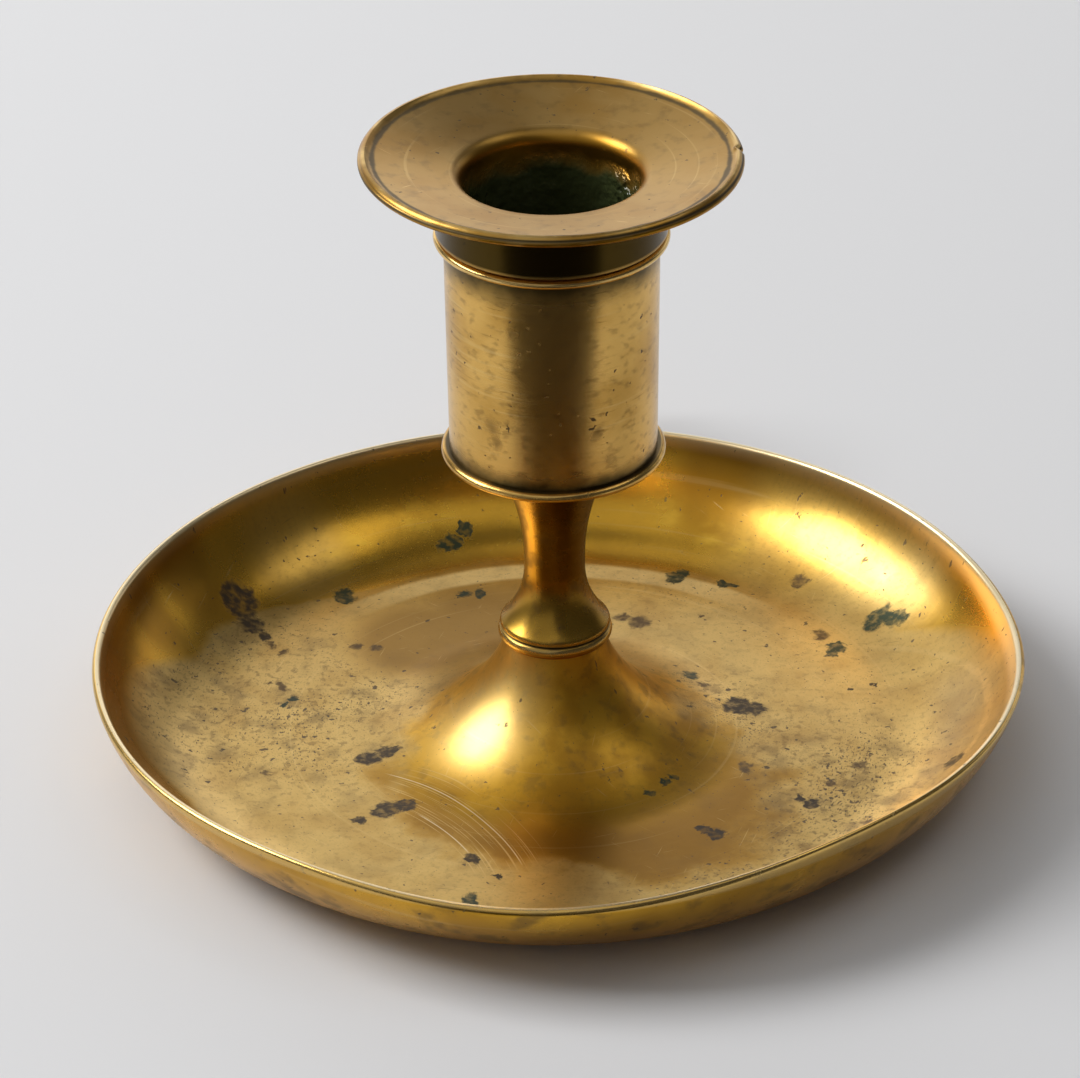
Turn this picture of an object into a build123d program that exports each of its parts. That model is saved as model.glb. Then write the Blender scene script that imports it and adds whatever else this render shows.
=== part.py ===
"""Brass chamberstick: a wide dished pan, a turned stem, a cylindrical candle socket with a lift-off
nozzle, and a cast finger loop riveted to the back of the pan.

Millimetres, +Z up. The origin is on the table, on the axis of the pan. The finger loop is towards +Y.
"""
import os
from math import acos, asin, atan2, cos, degrees, radians, sin, sqrt, tan

from build123d import *

# Pan: a sheet of even thickness, turned up in one arc at its wall and drawn up into a boss in the middle
PAN_RIM_R = 70.0
PAN_HEIGHT = 15.5
PAN_WALL_RUN = 20.0
PAN_SHEET = 1.3
LIP_ROUND = 0.45
BOSS_FOOT_R = 30.0
BOSS_HEIGHT = 17.95

# Collar: the round-edged ring between the boss and the stem
COLLAR_R = 8.6
COLLAR_HEIGHT = 2.2

# Stem: a waisted spool that ends in a bell over the collar
STEM_HEIGHT = 29.4
STEM_WAIST_R = 4.57
STEM_WAIST_LENGTH = 1.6
STEM_TOP_R = 9.8
BELL_INSET = 0.3
BELL_LAND = 0.15
BELL_CHAMFER = 0.2
BELL_SHOULDER_ARC = 1.0
BELL_COVE_ARC = 13.0

# Tenons that hold the stem: a threaded one below, a peened one above
LOWER_TENON_R = 2.5
LOWER_TENON_END = 1.2
UPPER_TENON_R = 3.0
PEENED_HEAD_R = 4.6
PEENED_HEAD_HEIGHT = 1.0
TENON_CLEARANCE = 0.05

# Washer and square nut in the hollow of the boss
WASHER_MARGIN = 0.9
WASHER_THICK = 1.0
NUT_WIDTH = 8.0
NUT_THICK = 3.6
NUT_CHAMFER = 0.8

# Candle bore, and the walls and beads that grow outwards from it
CANDLE_BORE_R = 12.9
SPIGOT_WALL = 1.3
SPIGOT_CLEARANCE = 0.1
SPIGOT_LENGTH = 12.0
SOCKET_WALL = 1.4
SOCKET_TAPER = 0.35
SOCKET_HEIGHT = 36.2
SOCKET_FLOOR = 2.0
FOOT_BEAD_REACH = 1.2
FOOT_BEAD_HEIGHT = 1.4
LIP_BEAD_REACH = 1.45
LIP_BEAD_HEIGHT = 1.2

# Nozzle: a collar that sits on the socket's lip, and a dished flange with a raised and grooved edge
NOZZLE_SEAT_GAP = 0.05
NOZZLE_COLLAR_STEP = 0.3
NOZZLE_COLLAR_HEIGHT = 8.5
NOZZLE_COLLAR_CHAMFER = 0.4
MOUTH_ROUND = 2.2
FLANGE_REACH = 10.85
FLANGE_THICK = 1.35
FLANGE_SLOPE_DEG = 11.0
EDGE_WIDTH = 2.1
EDGE_RISE = 0.6
EDGE_LIP_HEIGHT = 0.5
EDGE_BEAD_HEIGHT = 1.0
EDGE_GROOVE = 0.25

# Finger loop: a cast ring with a neck and a foot that follows the pan's wall
FINGER_HOLE_R = 11.5
LOOP_THICK = 2.0
LOOP_WIDTH = 9.0
LOOP_EDGE_ROUND = 0.6
LOOP_STANDOFF = 0.6
LOOP_TABLE_GAP = 2.5
LOOP_NECK_HEIGHT = 7.0
LOOP_FOOT_THICK = 1.6
LOOP_FOOT_HEIGHT = 9.0
LOOP_FOOT_DROP = 2.3
LOOP_FOOT_MARGIN = 1.3
LOOP_FOOT_CORNER = 2.5
LOOP_SEAT_GAP = 0.05

# Rivets through the loop's foot and the pan's wall
RIVET_R = 1.3
RIVET_HEAD_R = 2.3
RIVET_HEAD_HEIGHT = 0.9
RIVET_HEAD_SINK = 0.35
RIVET_NECK_GAP = 0.6
RIVET_CLEARANCE = 0.05


def arc_radius(run, rise):
    """Radius of an arc that leaves a line as its tangent and ends run along it and rise off it."""
    return (run**2 + rise**2) / (2 * rise)


# Pan and boss
PAN_FLOOR_R = PAN_RIM_R - PAN_WALL_RUN
WALL_ARC = arc_radius(PAN_WALL_RUN, PAN_HEIGHT)
WALL_ANGLE = atan2(PAN_WALL_RUN, WALL_ARC - PAN_HEIGHT)
BOSS_SEAT_R = COLLAR_R - COLLAR_HEIGHT / 2
BOSS_UNDERSIDE = BOSS_HEIGHT - PAN_SHEET
BOSS_UNDER_ARC = arc_radius(BOSS_FOOT_R - BOSS_SEAT_R, BOSS_UNDERSIDE) + PAN_SHEET
BOSS_UNDER_R = BOSS_FOOT_R - sqrt(BOSS_UNDER_ARC**2 - (BOSS_UNDER_ARC - BOSS_UNDERSIDE)**2)

# Heights up the stick
COLLAR_TOP = BOSS_HEIGHT + COLLAR_HEIGHT
SOCKET_BOTTOM = COLLAR_TOP + STEM_HEIGHT
SOCKET_FLOOR_TOP = SOCKET_BOTTOM + SOCKET_FLOOR
SOCKET_TOP = SOCKET_BOTTOM + SOCKET_HEIGHT
NOZZLE_SEAT = SOCKET_TOP + NOZZLE_SEAT_GAP
NUT_TOP = BOSS_UNDERSIDE - WASHER_THICK
LOWER_TENON_BOTTOM = NUT_TOP - NUT_THICK - LOWER_TENON_END

# Radii outwards from the tenon and from the candle bore
LOWER_HOLE_R = LOWER_TENON_R + TENON_CLEARANCE
STEM_BELL_R = COLLAR_R - BELL_INSET
SPIGOT_R = CANDLE_BORE_R + SPIGOT_WALL
SOCKET_BORE_R = SPIGOT_R + SPIGOT_CLEARANCE
SOCKET_TOP_R = SOCKET_BORE_R + SOCKET_WALL
SOCKET_FOOT_R = SOCKET_TOP_R - SOCKET_TAPER
FOOT_BEAD_R = SOCKET_FOOT_R + FOOT_BEAD_REACH
LIP_BEAD_R = SOCKET_TOP_R + LIP_BEAD_REACH
NOZZLE_COLLAR_R = LIP_BEAD_R - NOZZLE_COLLAR_STEP
FLANGE_R = NOZZLE_COLLAR_R + FLANGE_REACH

# Finger loop and its rivets
LOOP_RING_R = FINGER_HOLE_R + LOOP_THICK
LOOP_CENTRE_Y = PAN_RIM_R + LOOP_STANDOFF + LOOP_RING_R
LOOP_CENTRE_Z = LOOP_TABLE_GAP + LOOP_RING_R
LOOP_FOOT_MIDDLE = PAN_HEIGHT - LOOP_FOOT_DROP - LOOP_FOOT_HEIGHT / 2
RIVET_OFFSET = LOOP_WIDTH / 2 + RIVET_NECK_GAP + RIVET_HEAD_R
LOOP_FOOT_WIDTH = 2 * (RIVET_OFFSET + RIVET_HEAD_R + LOOP_FOOT_MARGIN)


def turned(section):
    """The solid that a half section in the XZ plane sweeps in one turn about Z."""
    return revolve(section, axis=Axis.Z)


def half_round(radius, bottom, height):
    """The arc of a bead's rounded edge, from its bottom to its top."""
    bead = height / 2
    return ThreePointArc((radius - bead, bottom), (radius, bottom + bead), (radius - bead, bottom + height))


def make_pan():
    """The dish with its boss, before the rivet holes are drilled."""
    inner_arc = WALL_ARC - PAN_SHEET
    lip_inner = (PAN_FLOOR_R + inner_arc * sin(WALL_ANGLE), WALL_ARC - inner_arc * cos(WALL_ANGLE))
    with BuildSketch(Plane.XZ) as section:
        with BuildLine():
            Polyline(
                (BOSS_UNDER_R, BOSS_UNDERSIDE),
                (LOWER_HOLE_R, BOSS_UNDERSIDE),
                (LOWER_HOLE_R, BOSS_HEIGHT),
                (BOSS_SEAT_R, BOSS_HEIGHT),
            )
            TangentArc((BOSS_FOOT_R, PAN_SHEET), (BOSS_SEAT_R, BOSS_HEIGHT), tangent=(-1, 0))
            Line((BOSS_FOOT_R, PAN_SHEET), (PAN_FLOOR_R, PAN_SHEET))
            TangentArc((PAN_FLOOR_R, PAN_SHEET), lip_inner, tangent=(1, 0))
            Line(lip_inner, (PAN_RIM_R, PAN_HEIGHT))
            TangentArc((PAN_FLOOR_R, 0), (PAN_RIM_R, PAN_HEIGHT), tangent=(1, 0))
            Line((PAN_FLOOR_R, 0), (BOSS_FOOT_R, 0))
            TangentArc((BOSS_FOOT_R, 0), (BOSS_UNDER_R, BOSS_UNDERSIDE), tangent=(-1, 0))
        make_face()
        lip_corners = section.vertices().sort_by(Axis.X)[-2:]
        fillet(lip_corners, min(LIP_ROUND, 0.45 * PAN_SHEET))
    return turned(section.sketch)


def make_collar():
    """The ring under the stem's bell."""
    with BuildSketch(Plane.XZ) as section:
        with BuildLine():
            Polyline(
                (BOSS_SEAT_R, BOSS_HEIGHT),
                (LOWER_HOLE_R, BOSS_HEIGHT),
                (LOWER_HOLE_R, COLLAR_TOP),
                (BOSS_SEAT_R, COLLAR_TOP),
            )
            half_round(COLLAR_R, BOSS_HEIGHT, COLLAR_HEIGHT)
        make_face()
    return turned(section.sketch)


def make_stem():
    """The spool with its threaded lower tenon and its peened upper one."""
    swing = BELL_SHOULDER_ARC + BELL_COVE_ARC
    spread = STEM_BELL_R - STEM_WAIST_R
    shoulder_z = COLLAR_TOP + BELL_CHAMFER + BELL_LAND
    waist_z = shoulder_z + sqrt(2 * swing * spread - spread**2)
    waist_top = waist_z + STEM_WAIST_LENGTH
    shoulder_share = BELL_SHOULDER_ARC / swing
    shoulder_centre_r = STEM_BELL_R - BELL_SHOULDER_ARC
    turn_r = shoulder_centre_r + shoulder_share * (STEM_WAIST_R + BELL_COVE_ARC - shoulder_centre_r)
    turn = (turn_r, shoulder_z + shoulder_share * (waist_z - shoulder_z))
    head_top = SOCKET_FLOOR_TOP + PEENED_HEAD_HEIGHT
    with BuildSketch(Plane.XZ) as section:
        with BuildLine():
            Polyline(
                (0, head_top),
                (0, LOWER_TENON_BOTTOM),
                (LOWER_TENON_R, LOWER_TENON_BOTTOM),
                (LOWER_TENON_R, COLLAR_TOP),
                (STEM_BELL_R - BELL_CHAMFER, COLLAR_TOP),
                (STEM_BELL_R, COLLAR_TOP + BELL_CHAMFER),
                (STEM_BELL_R, shoulder_z),
            )
            TangentArc((STEM_BELL_R, shoulder_z), turn, tangent=(0, 1))
            TangentArc((STEM_WAIST_R, waist_z), turn, tangent=(0, -1))
            Line((STEM_WAIST_R, waist_z), (STEM_WAIST_R, waist_top))
            TangentArc((STEM_WAIST_R, waist_top), (STEM_TOP_R, SOCKET_BOTTOM), tangent=(0, 1))
            Polyline(
                (STEM_TOP_R, SOCKET_BOTTOM),
                (UPPER_TENON_R, SOCKET_BOTTOM),
                (UPPER_TENON_R, SOCKET_FLOOR_TOP),
                (PEENED_HEAD_R, SOCKET_FLOOR_TOP),
            )
            TangentArc((0, head_top), (PEENED_HEAD_R, SOCKET_FLOOR_TOP), tangent=(1, 0))
        make_face()
    return turned(section.sketch)


def make_washer():
    """The disc between the boss and the nut."""
    ring = Circle(BOSS_UNDER_R - WASHER_MARGIN) - Circle(LOWER_HOLE_R)
    return Pos(0, 0, NUT_TOP) * extrude(ring, WASHER_THICK)


def make_nut():
    """The square nut on the lower tenon, its corners taken off."""
    outline = chamfer(Rectangle(NUT_WIDTH, NUT_WIDTH).vertices(), NUT_CHAMFER)
    return Pos(0, 0, NUT_TOP - NUT_THICK) * extrude(outline - Circle(LOWER_HOLE_R), NUT_THICK)


def make_socket():
    """The cup that takes the nozzle, with its foot and lip beads."""
    foot_top = SOCKET_BOTTOM + FOOT_BEAD_HEIGHT
    lip_bottom = SOCKET_TOP - LIP_BEAD_HEIGHT
    foot_arc_r = FOOT_BEAD_R - FOOT_BEAD_HEIGHT / 2
    lip_arc_r = LIP_BEAD_R - LIP_BEAD_HEIGHT / 2
    floor_hole_r = UPPER_TENON_R + TENON_CLEARANCE
    with BuildSketch(Plane.XZ) as section:
        with BuildLine():
            Polyline(
                (foot_arc_r, SOCKET_BOTTOM),
                (floor_hole_r, SOCKET_BOTTOM),
                (floor_hole_r, SOCKET_FLOOR_TOP),
                (SOCKET_BORE_R, SOCKET_FLOOR_TOP),
                (SOCKET_BORE_R, SOCKET_TOP),
                (lip_arc_r, SOCKET_TOP),
            )
            half_round(LIP_BEAD_R, lip_bottom, LIP_BEAD_HEIGHT)
            Polyline(
                (lip_arc_r, lip_bottom),
                (SOCKET_TOP_R, lip_bottom),
                (SOCKET_FOOT_R, foot_top),
                (foot_arc_r, foot_top),
            )
            half_round(FOOT_BEAD_R, SOCKET_BOTTOM, FOOT_BEAD_HEIGHT)
        make_face()
    return turned(section.sketch)


def make_nozzle():
    """The lift-off nozzle: spigot, collar, and flange with a raised and grooved edge."""
    slope = tan(radians(FLANGE_SLOPE_DEG))
    spigot_bottom = NOZZLE_SEAT - SPIGOT_LENGTH
    collar_top = NOZZLE_SEAT + NOZZLE_COLLAR_HEIGHT
    mouth_z = collar_top + FLANGE_THICK - slope * (NOZZLE_COLLAR_R - CANDLE_BORE_R)
    edge_inner_r = FLANGE_R - EDGE_WIDTH
    edge_foot = (edge_inner_r, mouth_z + slope * (edge_inner_r - CANDLE_BORE_R))
    crest = (FLANGE_R - EDGE_WIDTH / 2, edge_foot[1] + EDGE_RISE)
    lip_bottom = crest[1] - EDGE_LIP_HEIGHT
    bead_bottom = lip_bottom - EDGE_BEAD_HEIGHT
    bead_arc_r = FLANGE_R - EDGE_BEAD_HEIGHT / 2
    with BuildSketch(Plane.XZ) as section:
        with BuildLine():
            Polyline(
                (bead_arc_r, bead_bottom),
                (NOZZLE_COLLAR_R, collar_top),
                (NOZZLE_COLLAR_R, NOZZLE_SEAT + NOZZLE_COLLAR_CHAMFER),
                (NOZZLE_COLLAR_R - NOZZLE_COLLAR_CHAMFER, NOZZLE_SEAT),
                (SPIGOT_R, NOZZLE_SEAT),
                (SPIGOT_R, spigot_bottom),
                (CANDLE_BORE_R, spigot_bottom),
            )
            FilletPolyline((CANDLE_BORE_R, spigot_bottom), (CANDLE_BORE_R, mouth_z), edge_foot, radius=MOUTH_ROUND)
            TangentArc(edge_foot, crest, tangent=(1, slope))
            TangentArc(crest, (FLANGE_R - EDGE_GROOVE, lip_bottom), tangent=(1, 0))
            Line((FLANGE_R - EDGE_GROOVE, lip_bottom), (bead_arc_r, lip_bottom))
            half_round(FLANGE_R, bead_bottom, EDGE_BEAD_HEIGHT)
        make_face()
    return turned(section.sketch)


def wall_envelope(offset):
    """Everything inside the pan's wall, grown outwards by offset, from the table to the lip."""
    reach = WALL_ARC + offset
    top = (PAN_FLOOR_R + reach * sin(WALL_ANGLE), WALL_ARC - reach * cos(WALL_ANGLE))
    with BuildSketch(Plane.XZ) as section:
        with BuildLine():
            TangentArc((PAN_FLOOR_R, -offset), top, tangent=(1, 0))
            Polyline(top, (0, top[1]), (0, -offset), (PAN_FLOOR_R, -offset))
        make_face()
    return turned(section.sketch)


def make_finger_loop():
    """The cast loop, before the rivet holes are drilled."""
    side = Plane.YZ.offset(-LOOP_WIDTH / 2)
    centre = Pos(LOOP_CENTRE_Y, LOOP_CENTRE_Z)
    hole = extrude(side * centre * Circle(FINGER_HOLE_R), LOOP_WIDTH)
    ring = extrude(side * centre * Circle(LOOP_RING_R), LOOP_WIDTH) - hole
    ring = fillet(ring.edges().filter_by(GeomType.CIRCLE), LOOP_EDGE_ROUND)
    neck_length = LOOP_CENTRE_Y - PAN_FLOOR_R
    neck_middle = Pos(LOOP_CENTRE_Y - neck_length / 2, LOOP_FOOT_MIDDLE)
    neck = extrude(side * neck_middle * Rectangle(neck_length, LOOP_NECK_HEIGHT), LOOP_WIDTH)
    back = Plane.XZ.offset(-PAN_RIM_R - LOOP_FOOT_THICK)
    plate = Pos(0, LOOP_FOOT_MIDDLE) * RectangleRounded(LOOP_FOOT_WIDTH, LOOP_FOOT_HEIGHT, LOOP_FOOT_CORNER)
    foot = extrude(back * plate, PAN_WALL_RUN) & wall_envelope(LOOP_SEAT_GAP + LOOP_FOOT_THICK)
    return ring + (neck - hole) + foot - wall_envelope(LOOP_SEAT_GAP)


def rivet_places():
    """Where each rivet crosses the pan's wall: its Z axis is the wall's outward normal there."""
    lean = acos(1 - LOOP_FOOT_MIDDLE / WALL_ARC)
    radius = PAN_FLOOR_R + WALL_ARC * sin(lean)
    swing = degrees(asin(RIVET_OFFSET / radius))
    return [
        Rot(0, 0, 90 + hand * swing) * Pos(radius, 0, LOOP_FOOT_MIDDLE) * Rot(0, 180 - degrees(lean), 0)
        for hand in (-1, 1)
    ]


def rivet_blank():
    """One rivet about the wall's outer face, its heads left deep enough to be cut to their seats."""
    outer_seat = LOOP_SEAT_GAP + LOOP_FOOT_THICK - RIVET_HEAD_SINK
    inner_seat = RIVET_HEAD_SINK - PAN_SHEET
    outer_top = outer_seat + RIVET_HEAD_SINK + RIVET_HEAD_HEIGHT
    inner_top = inner_seat - RIVET_HEAD_SINK - RIVET_HEAD_HEIGHT
    with BuildSketch(Plane.XZ) as section:
        with BuildLine():
            Line((0, outer_top), (0, inner_top))
            TangentArc((0, inner_top), (RIVET_HEAD_R, inner_seat), tangent=(1, 0))
            Polyline(
                (RIVET_HEAD_R, inner_seat),
                (RIVET_R, inner_seat),
                (RIVET_R, outer_seat),
                (RIVET_HEAD_R, outer_seat),
            )
            TangentArc((0, outer_top), (RIVET_HEAD_R, outer_seat), tangent=(1, 0))
        make_face()
    return turned(section.sketch)


def drill(piece):
    """Cut the rivet holes through the pan's wall or the loop's foot."""
    depth = PAN_SHEET + LOOP_SEAT_GAP + LOOP_FOOT_THICK
    for place in rivet_places():
        piece = piece - place * Cylinder(RIVET_R + RIVET_CLEARANCE, 2 * depth)
    return piece


pan = drill(make_pan())
finger_loop = drill(make_finger_loop())
rivets = [place * rivet_blank() - pan - finger_loop for place in rivet_places()]

nodes = {
    "pan": pan,
    "stem_collar": make_collar(),
    "stem": make_stem(),
    "base_washer": make_washer(),
    "base_nut": make_nut(),
    "candle_socket": make_socket(),
    "nozzle": make_nozzle(),
    "finger_loop": finger_loop,
    "loop_rivets": Compound(children=[solid for rivet in rivets for solid in rivet.solids()]),
}

os.makedirs("parts", exist_ok=True)
for name, shape in nodes.items():
    export_step(shape, os.path.join("parts", name + ".step"))
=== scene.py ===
"""Looks of a brass chamberstick: its turned and sheet pieces as smooth meshes, with aged brass on them.

Metres, +Z up, in the frame of the solid model. The finger loop is towards +Y and the camera towards -Y.
"""
from math import atan2, cos, degrees, exp, hypot, pi, radians, sin, sqrt, tan

import bmesh
import bpy
from bpy.props import FloatProperty, FloatVectorProperty, PointerProperty
from bpy.types import Operator, Panel, PropertyGroup
from mathutils import Matrix, Vector


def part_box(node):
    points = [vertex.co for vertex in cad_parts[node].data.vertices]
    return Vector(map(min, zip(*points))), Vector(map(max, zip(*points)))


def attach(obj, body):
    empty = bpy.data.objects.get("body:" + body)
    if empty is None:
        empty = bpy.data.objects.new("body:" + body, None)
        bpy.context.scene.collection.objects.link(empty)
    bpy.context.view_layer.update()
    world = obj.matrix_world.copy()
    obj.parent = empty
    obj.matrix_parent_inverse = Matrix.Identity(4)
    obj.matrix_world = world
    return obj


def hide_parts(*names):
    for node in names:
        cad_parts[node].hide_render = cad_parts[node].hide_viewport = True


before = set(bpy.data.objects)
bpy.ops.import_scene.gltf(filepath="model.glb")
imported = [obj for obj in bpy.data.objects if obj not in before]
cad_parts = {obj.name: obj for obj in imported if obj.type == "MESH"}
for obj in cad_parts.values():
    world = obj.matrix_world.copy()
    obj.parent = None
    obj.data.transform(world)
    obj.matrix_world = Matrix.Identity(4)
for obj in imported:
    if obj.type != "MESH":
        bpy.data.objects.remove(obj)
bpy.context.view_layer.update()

bl_info = {
    "name": "Brass chamberstick",
    "version": (1, 0, 0),
    "blender": (4, 5, 0),
    "location": "3D View > Sidebar > Chamberstick",
    "description": "Builds the looks of an aged brass chamberstick around its solid model",
    "category": "Object",
}

MM = 0.001

# Knocks that left the pan's rim uneven: clock angle from +X, half width of the bend in degrees, outward lean
RIM_KNOCKS = (
    (5, 20, 1.7 * MM),
    (233, 18, -0.65 * MM),
    (266, 18, 1.0 * MM),
    (308, 22, -1.9 * MM),
)

# Marks on the pan's inside, seen from above: x, y and size
BLACK_MARKS = (
    (-49.7, 33.5, 3.6), (-48.0, 29.5, 2.6), (-45.5, 27.0, 1.6),
    (-28.5, -8.8, 2.2), (-25.6, -7.0, 2.0),
    (-25.5, -22.8, 2.6), (-22.6, -21.6, 2.2), (-29.0, -25.6, 1.5),
    (-12.2, -36.4, 1.4), (-8.6, -40.7, 0.9),
    (27.8, 5.6, 2.6), (30.6, 4.6, 2.2), (23.4, -29.9, 1.7), (21.6, -29.2, 1.2),
    (37.8, -22.3, 1.8), (36.0, -20.8, 1.1), (59.8, -16.6, 1.8),
    (48.9, 11.5, 0.7), (44.9, 10.5, 0.7), (38.9, 51.8, 0.6), (49.5, 40.6, 0.6),
)
GREEN_MARKS = (
    (-33.4, 39.0, 2.3), (-16.9, 53.8, 2.6), (-14.4, 57.0, 1.7), (-14.6, 39.4, 1.4), (-11.9, 40.0, 1.4),
    (19.0, 44.6, 1.9), (20.6, 46.0, 1.3), (26.8, 42.2, 1.4), (28.4, 41.9, 1.1),
    (51.0, 28.2, 2.9), (53.2, 26.6, 2.3), (43.9, 22.4, 1.7), (43.0, 20.4, 1.4), (45.0, 23.6, 1.1),
    (20.5, 13.3, 1.6), (15.8, -17.3, 1.1), (17.0, -16.0, 0.9), (13.9, -19.9, 1.0), (7.4, -18.6, 0.5),
    (-12.6, -46.6, 1.6), (-40.5, 8.4, 1.2), (-41.6, 7.0, 0.7),
)
BROWN_MARKS = (
    (13.4, 30.8, 2.4), (10.4, 32.2, 1.7), (41.6, 26.2, 1.8),
    (39.1, 41.3, 1.7), (-44.8, 24.4, 1.3), (-42.6, 22.4, 1.0), (-28.1, 23.6, 1.2), (-31.0, 24.4, 0.9),
    (-42.3, 12.2, 1.3), (-44.4, 13.2, 0.9), (-43.7, -12.1, 1.1), (23.2, 32.2, 0.8), (22.6, 11.0, 1.2),
    (28.4, -12.2, 1.6), (45.7, -11.6, 1.4), (40.6, -16.8, 1.3), (45.9, -27.8, 1.3), (9.2, -17.0, 0.7),
)

# Glints of reflected light painted on the pan's wall: x, y and size
PAINTED_GLINT_MARKS = (
    (-35.0, 47.2, 4.0), (-31.5, 49.7, 5.0), (-22.0, 57.2, 4.5), (-18.0, 58.5, 3.5),
    (16.5, 63.4, 4.5), (18.5, 59.0, 4.0), (25.4, 53.4, 4.0), (29.0, 50.5, 4.0),
)

# Soft patches on the pan's inside, seen from above: x, y, full radius, width of the fringe and strength
BROWN_FILM = ((-11, 31, 6, 13, 1), (-21, 26, 7, 9, 1))
# Painted shade: dark patches on the walls where they reflect dark surroundings
PAINTED_WALL_SHADE = ((27, 60, 4, 7, 1), (-58, 32, 3, 6, 1), (-62, 20, 2, 5, 1))
# Beige on the wall; the patch high on the right back wall is painted round the highlight there to make it
# paler
BEIGE_WALL_AND_HIGHLIGHT = ((-41, 46, 4, 8, 0.7), (46, 40, 13, 14, 1))
DIRTY_FLOOR = ((32, -22, 10, 28, 1), (-42, 4, 8, 26, 0.8), (23, 5, 5, 9, 1))
# A pale patch painted as the highlight on the boss's left flank
BOSS_HIGHLIGHT_PATCH = ((-11, -9, 3, 9, 0.6),)
# A duller patch high on the right wall, partly dull patina and partly painted shade that dims the reflected
# light there
DULL_SHADED_WALL = ((61, -9, 10, 12, 1),)

# Round edges of the pan's beige floor: x and y of the middle, and the radii where the edge starts and ends
BEIGE_RIGHT = (40, -2, 31, 28)
BEIGE_LEFT = (-40, -2, 26.5, 24)
# Where the boss and stem are reflected in the floor in front, painted as golden-brown film in place of beige
BOSS_REFLECTION_FRONT = ((1, -12, 22, 30), (14, -21, 15, 24))

# The fan of scratches in front of the boss: the middle of its arcs, and where it is
FAN_MIDDLE = (-46.5, -51)
FAN_PATCH = ((-12.5, -25, 13, 4, 1),)
# The fan's two deep scratches: radius of the arc, half width, and where it is
DEEP_SCRATCHES = (
    (43.4, 0.13, ((-13.5, -24, 14, 3, 1),)),
    (37.3, 0.12, ((-16.7, -29.5, 5, 2, 1),)),
)

# Stains on the socket's wall, unrolled: distance round from the front, height and size
SOCKET_SMUDGES = (
    (-9.6, 60.5, 2.2), (-8.6, 58.6, 1.6), (6.6, 59.6, 1.5), (8.8, 54.6, 1.8), (-6.0, 76.5, 1.6),
)
SOCKET_DOTS = (
    (5.4, 60.9, 0.55), (5.5, 62.3, 0.40), (8.6, 63.0, 0.35), (-6.2, 61.6, 0.25), (-7.4, 81.2, 0.35),
)

# Which way brushed brass stretches its highlights, and the roughness of the thin film over it
BRUSH_TURN = 0.25
COAT_ROUGHNESS = 0.28

# Soft panels that face the object: name, clock angle from +X, elevation, distance, width and height
LAMPS = (
    ("key", 170, 42, 2.0, 1.16, 0.94),
    ("corner", 124, 52, 1.6, 1.30, 0.74),
    ("side", 12, 60, 1.5, 0.86, 0.48),
    ("back", 99, 18, 1.6, 1.56, 1.10),
    ("horizon", 88, 15, 1.6, 4.10, 0.80),
    ("flank", 42, 18, 1.6, 0.90, 0.70),
    ("overhead", 235, 76, 1.6, 1.80, 1.40),
    ("front", 238, 38, 1.6, 1.60, 1.20),
)
FLOOR_HALF_WIDTH = 4
FLOOR_DROP = 0.05 * MM
CARD_LIFT = 0.5 * MM
SHEET_ROUGHNESS = 0.9
SENSOR_WIDTH = 36


def reach(node):
    """The widest radius of a turned node."""
    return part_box(node)[1].x


def bottom(node):
    """The height of a node's underside."""
    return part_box(node)[0].z


def top(node):
    """The height of a node's upper side."""
    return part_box(node)[1].z


def length(description, default):
    """A length in metres that a user can change."""
    return FloatProperty(description=description, default=default, unit="LENGTH", precision=5)


def colour(description, default):
    """A linear colour that a user can change."""
    return FloatVectorProperty(
        description=description, default=default, subtype="COLOR", size=3, min=0, max=1
    )


def angle(description, default):
    """An angle, given in degrees, that a user can change."""
    return FloatProperty(description=description, default=radians(default), subtype="ANGLE")


def brightness(description, default):
    """The brightness of a light that a user can change."""
    return FloatProperty(description=description, default=default, min=0)


class BrassColours(PropertyGroup):
    """Colours of the metal and of what age leaves on it."""

    gold: colour("Bare brass of the pan and the loop", (0.72, 0.395, 0.035))
    # The next colour is partly drier brass and partly a paler copy painted where the pan reflects bright
    # light
    beige: colour("Drier brass of the pan's floor", (0.67, 0.465, 0.165))
    buff: colour("Drier brass of the socket", (0.74, 0.455, 0.125))
    dun: colour("Dull brass of the nozzle", (0.44, 0.265, 0.072))
    amber: colour("Warmer brass of the stem and the fixings", (0.60, 0.35, 0.055))
    # The next colour is brass rubbed bright at edges and in scratches; it also paints the highlights on the
    # boss's left flank and beside the crease at the back
    rubbed: colour("Brass rubbed bright at edges and in scratches", (0.80, 0.57, 0.22))
    # The next colour is bright brass of deep scratches and of the lip, where it is partly a painted highlight
    pale: colour("Bright brass of the lip and of deep scratches", (0.92, 0.78, 0.50))
    # The next colour is a painted glint: bright yellow brass laid where the pan's wall reflects the light
    etched: colour("Frosted brass that catches the light", (0.95, 0.60, 0.07))
    film: colour("Brown film over old brass", (0.34, 0.160, 0.010))
    russet: colour("Thick brown film", (0.14, 0.066, 0.006))
    umber: colour("Brown-grey smudges", (0.13, 0.078, 0.030))
    tarnish: colour("Grey-black spots", (0.055, 0.038, 0.023))
    verdigris: colour("Green-black crust", (0.028, 0.044, 0.024))
    # The next colour is painted shade: near-black brass on the nozzle's neck where the flange above shades it
    olive: colour("Dark film on the nozzle's neck", (0.034, 0.022, 0.003))
    grime: colour("Dirt in seams and grooves", (0.026, 0.023, 0.009))
    soot: colour("Green-black inside of the nozzle and the socket", (0.026, 0.046, 0.018))


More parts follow.
